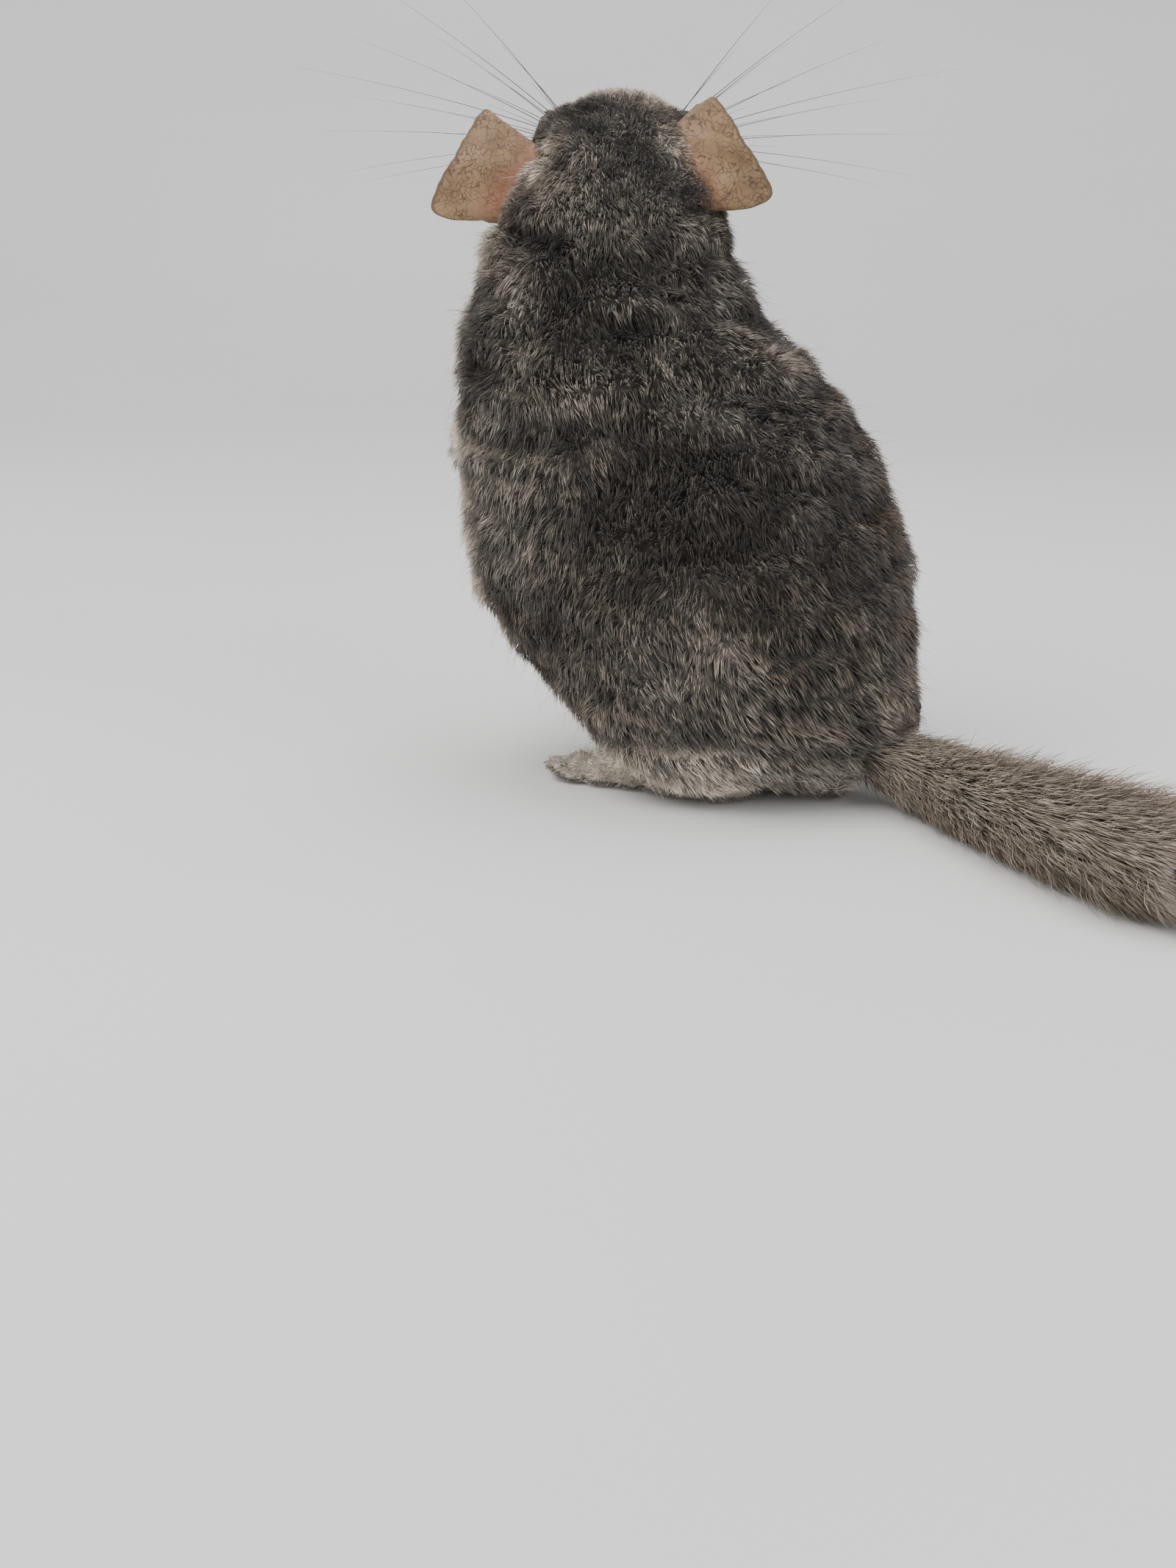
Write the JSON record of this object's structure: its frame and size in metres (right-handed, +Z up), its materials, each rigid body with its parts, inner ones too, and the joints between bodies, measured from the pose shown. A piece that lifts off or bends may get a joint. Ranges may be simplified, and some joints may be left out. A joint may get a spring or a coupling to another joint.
{
  "type": "chinchilla",
  "caption": "Life-size chinchilla sitting up on its hind feet, head turned over its right shoulder and nose lifted, with large ears, long whiskers and a bushy tail laid on the floor.",
  "frame": {"origin": "on the floor under the body, midway between the hind feet, at the middle of the flat that the belly and rump rest on", "axes": "+Z up, -Y is where the hips and hind feet face, +X is the animal's left"},
  "size_m": [0.1864, 0.3313, 0.2526],
  "materials": {
    "coat": "matte",
    "pale_coat": "matte",
    "ear_skin": "matte",
    "nose_skin": "satin",
    "eye": "gloss",
    "whisker": "satin"
  },
  "bodies": {
    "root": {"torso": "coat", "neck": "coat", "head": "coat", "muzzle": "pale_coat", "lower_jaw": "pale_coat", "nose": "nose_skin", "eye_left": "eye", "eye_right": "eye", "ear_left": "ear_skin", "ear_right": "ear_skin", "whiskers_left": "whisker", "whiskers_right": "whisker", "foreleg_left": "coat", "foreleg_right": "coat", "hand_left": "pale_coat", "hand_right": "pale_coat", "haunch_left": "coat", "haunch_right": "coat", "hind_foot_left": "pale_coat", "hind_foot_right": "pale_coat", "tail": "pale_coat"}
  },
  "joints": []
}
